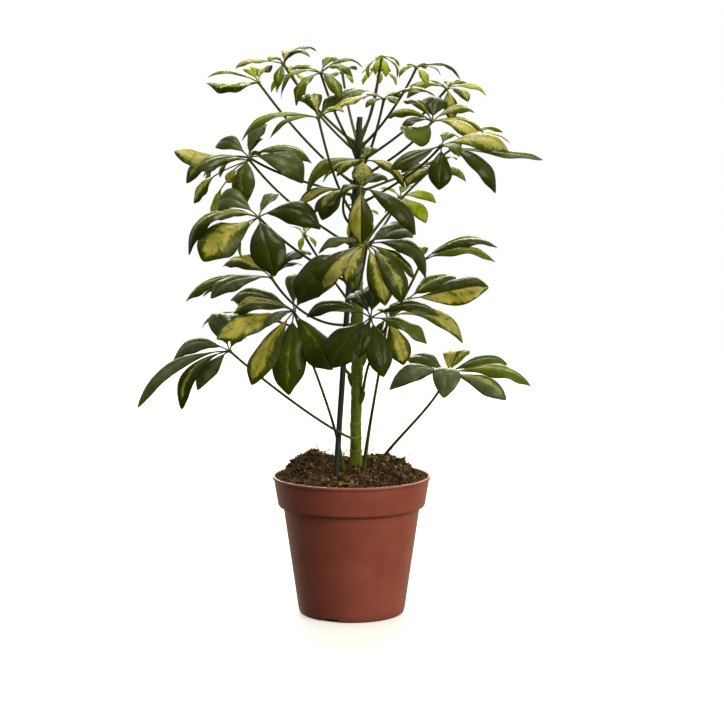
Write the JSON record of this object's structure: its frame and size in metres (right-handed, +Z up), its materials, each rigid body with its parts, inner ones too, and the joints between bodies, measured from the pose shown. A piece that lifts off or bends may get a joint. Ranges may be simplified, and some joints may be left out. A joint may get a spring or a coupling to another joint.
{
  "type": "potted umbrella plant",
  "caption": "Variegated dwarf umbrella plant: whorls of glossy leaflets on long stalks around an upright stem and a thin support cane, rooted in a stepped plastic nursery pot of peat.",
  "frame": {"origin": "centre of the pot's base, on the surface that the pot stands on", "axes": "+Z up along the pot's axis, +X to the right of a person who faces the plant's front, +Y away from that person"},
  "size_m": [0.4205, 0.2457, 0.604],
  "materials": {
    "terracotta_plastic": "satin moulded plastic, terracotta brown, with fine mould lines and a few scuffs",
    "peat_soil": "loose dark peat compost with paler fibres and crumbs",
    "green_stem": "green young bark, faintly ridged, browner at the soil",
    "stained_cane": "dark blue-green stained wood, matt",
    "variegated_leaf": "glossy dark green with cream to lime blotches along the midribs, paler underneath"
  },
  "bodies": {
    "root": {"pot": "terracotta_plastic", "soil": "peat_soil", "main_stem": "green_stem", "support_cane": "stained_cane", "leaf_01": "variegated_leaf", "leaf_02": "variegated_leaf", "leaf_03": "variegated_leaf", "leaf_04": "variegated_leaf", "leaf_05": "variegated_leaf", "leaf_06": "variegated_leaf", "leaf_07": "variegated_leaf", "leaf_08": "variegated_leaf", "leaf_09": "variegated_leaf", "leaf_10": "variegated_leaf", "leaf_11": "variegated_leaf", "leaf_12": "variegated_leaf", "leaf_13": "variegated_leaf", "leaf_14": "variegated_leaf", "leaf_15": "variegated_leaf", "leaf_16": "variegated_leaf", "leaf_17": "variegated_leaf", "leaf_18": "variegated_leaf", "leaf_19": "variegated_leaf", "leaf_20": "variegated_leaf", "leaf_21": "variegated_leaf", "leaf_22": "variegated_leaf", "leaf_23": "variegated_leaf", "leaf_24": "variegated_leaf", "leaf_25": "variegated_leaf", "leaf_26": "variegated_leaf", "leaf_27": "variegated_leaf", "leaf_28": "variegated_leaf", "leaf_29": "variegated_leaf", "leaf_30": "variegated_leaf", "leaf_31": "variegated_leaf", "leaf_32": "variegated_leaf", "leaf_33": "variegated_leaf", "leaf_34": "variegated_leaf"}
  },
  "joints": []
}
